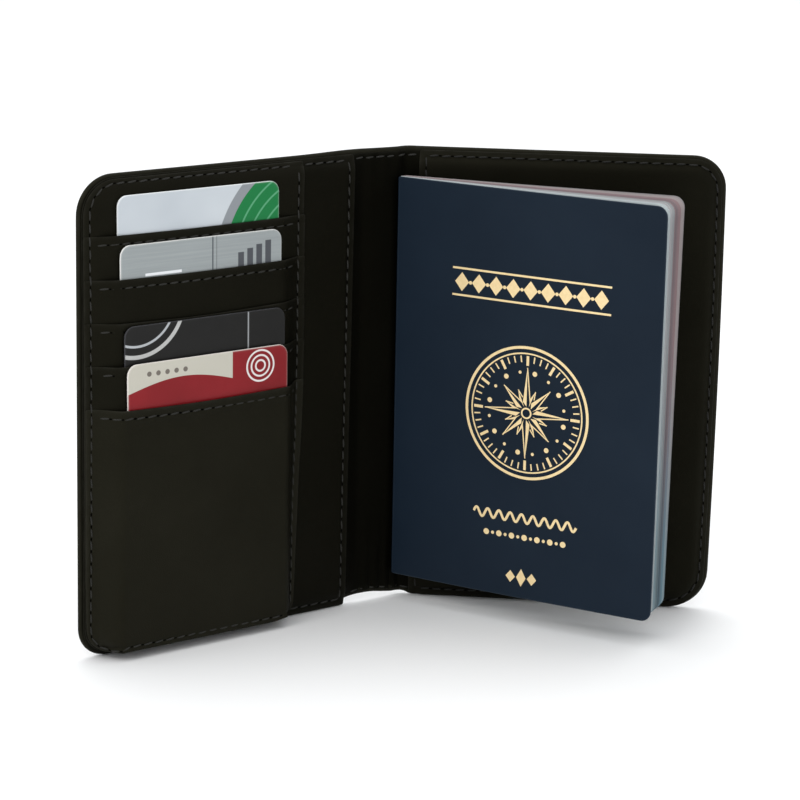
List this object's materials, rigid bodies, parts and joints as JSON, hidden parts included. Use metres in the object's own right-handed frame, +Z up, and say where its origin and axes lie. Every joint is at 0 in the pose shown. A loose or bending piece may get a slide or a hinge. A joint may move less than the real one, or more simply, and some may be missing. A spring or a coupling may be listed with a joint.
{
  "type": "passport holder",
  "caption": "Stitched leather folder with upright card pockets on the left panel and a passport held by its back cover in a full-height sleeve on the right, standing half open.",
  "frame": {"origin": "middle of the half-open folder's footprint, on the surface it stands on", "axes": "+X to the right across both panels as seen from the inside, +Y away from that viewer, towards the spine, +Z up along the fold lines"},
  "size_m": [0.1884, 0.0742, 0.142],
  "materials": {
    "cover_leather": "matt fine-grained black leather, turned edges",
    "pocket_leather": "matt fine-grained black leather",
    "lining": "thin matt black lining",
    "board": "plain grey-brown board",
    "thread": "charcoal polyester sewing thread",
    "passport_cloth": "navy coated book cloth with fine grain and plain gold foil ornament",
    "passport_paper": "off-white leaves with faint tinted edges",
    "card_white": "semi-gloss, pale grey with a green panel",
    "card_silver": "satin silver",
    "card_black": "semi-gloss charcoal",
    "card_red": "semi-gloss red with a cream corner"
  },
  "bodies": {
    "right_panel": {"outer_cover_right": "cover_leather", "stiffener_right": "board", "lining_right": "lining", "passport_sleeve": "pocket_leather", "perimeter_thread_right": "thread", "sleeve_thread_right": "thread"},
    "spine_panel": {"outer_cover_spine": "cover_leather", "lining_spine": "lining", "perimeter_thread_spine_top": "thread", "perimeter_thread_spine_bottom": "thread"},
    "left_panel": {"outer_cover_left": "cover_leather", "stiffener_left": "board", "lining_left": "lining", "slip_sleeve_left": "pocket_leather", "card_backing": "pocket_leather", "card_pocket_1": "pocket_leather", "card_pocket_2": "pocket_leather", "card_pocket_3": "pocket_leather", "card_pocket_4": "pocket_leather", "card_pocket_5": "pocket_leather", "perimeter_thread_left": "thread", "pocket_seam_thread": "thread", "sleeve_thread_left": "thread", "slip_sleeve_thread_top": "thread", "slip_sleeve_thread_bottom": "thread", "pocket_hem_thread_1": "thread", "pocket_hem_thread_2": "thread", "pocket_hem_thread_3": "thread", "pocket_hem_thread_4": "thread", "pocket_hem_thread_5": "thread"},
    "card_1": {"card_1": "card_white"},
    "card_2": {"card_2": "card_silver"},
    "card_3": {"card_3": "card_black"},
    "card_4": {"card_4": "card_red"},
    "passport_back": {"passport_back_cover": "passport_cloth", "passport_spine": "passport_cloth"},
    "leaves_1": {"passport_leaves_1": "passport_paper"},
    "leaves_2": {"passport_leaves_2": "passport_paper"},
    "leaves_3": {"passport_leaves_3": "passport_paper"},
    "leaves_4": {"passport_leaves_4": "passport_paper"},
    "passport_front": {"passport_front_cover": "passport_cloth"}
  },
  "joints": [
    {"name": "fold_right", "type": "hinge", "parent": "right_panel", "child": "spine_panel", "pos_m": [-0.00063, 0.03659, 0.071], "axis": [0, 0, -1], "range_deg": [-51.8, 38.2], "deforming": ["passport_spine"]},
    {"name": "fold_left", "type": "hinge", "parent": "spine_panel", "child": "left_panel", "pos_m": [-0.01662, 0.02632, 0.071], "axis": [0, 0, -1], "range_deg": [-86.9, 3.1]},
    {"name": "passport_shift", "type": "slide", "parent": "right_panel", "child": "passport_back", "axis": [0.9954, -0.0958, 0], "range_m": [-0.0038, 0.0051]},
    {"name": "leaves_1_turn", "type": "hinge", "parent": "passport_back", "child": "leaves_1", "pos_m": [-0.00159, 0.03296, 0.071], "axis": [0, 0, -1], "range_deg": [-17.2, 1]},
    {"name": "leaves_2_turn", "type": "hinge", "parent": "passport_back", "child": "leaves_2", "pos_m": [-0.00234, 0.03243, 0.071], "axis": [0, 0, -1], "range_deg": [-19.6, 1]},
    {"name": "leaves_3_turn", "type": "hinge", "parent": "passport_back", "child": "leaves_3", "pos_m": [-0.00289, 0.03188, 0.071], "axis": [0, 0, -1], "range_deg": [-21.8, 1]},
    {"name": "leaves_4_turn", "type": "hinge", "parent": "passport_back", "child": "leaves_4", "pos_m": [-0.00305, 0.0313, 0.071], "axis": [0, 0, -1], "range_deg": [-23.8, 1]},
    {"name": "front_cover_turn", "type": "hinge", "parent": "leaves_4", "child": "passport_front", "pos_m": [-0.00348, 0.03099, 0.071], "axis": [0, 0, -1], "range_deg": [0, 100]},
    {"name": "card_1_pull", "type": "slide", "parent": "left_panel", "child": "card_1", "axis": [0, 0, 1], "range_m": [0, 0.07]},
    {"name": "card_2_pull", "type": "slide", "parent": "left_panel", "child": "card_2", "axis": [0, 0, 1], "range_m": [0, 0.07]},
    {"name": "card_3_pull", "type": "slide", "parent": "left_panel", "child": "card_3", "axis": [0, 0, 1], "range_m": [0, 0.07]},
    {"name": "card_4_pull", "type": "slide", "parent": "left_panel", "child": "card_4", "axis": [0, 0, 1], "range_m": [0, 0.07]}
  ],
  "couplings": [
    {"joint": "passport_shift", "follows": "fold_right", "m_per_rad": -0.0055305},
    {"joint": "leaves_1_turn", "follows": "fold_left", "ratio": 0.19563},
    {"joint": "leaves_2_turn", "follows": "fold_left", "ratio": 0.22324},
    {"joint": "leaves_3_turn", "follows": "fold_left", "ratio": 0.24856},
    {"joint": "leaves_4_turn", "follows": "fold_left", "ratio": 0.27158}
  ]
}
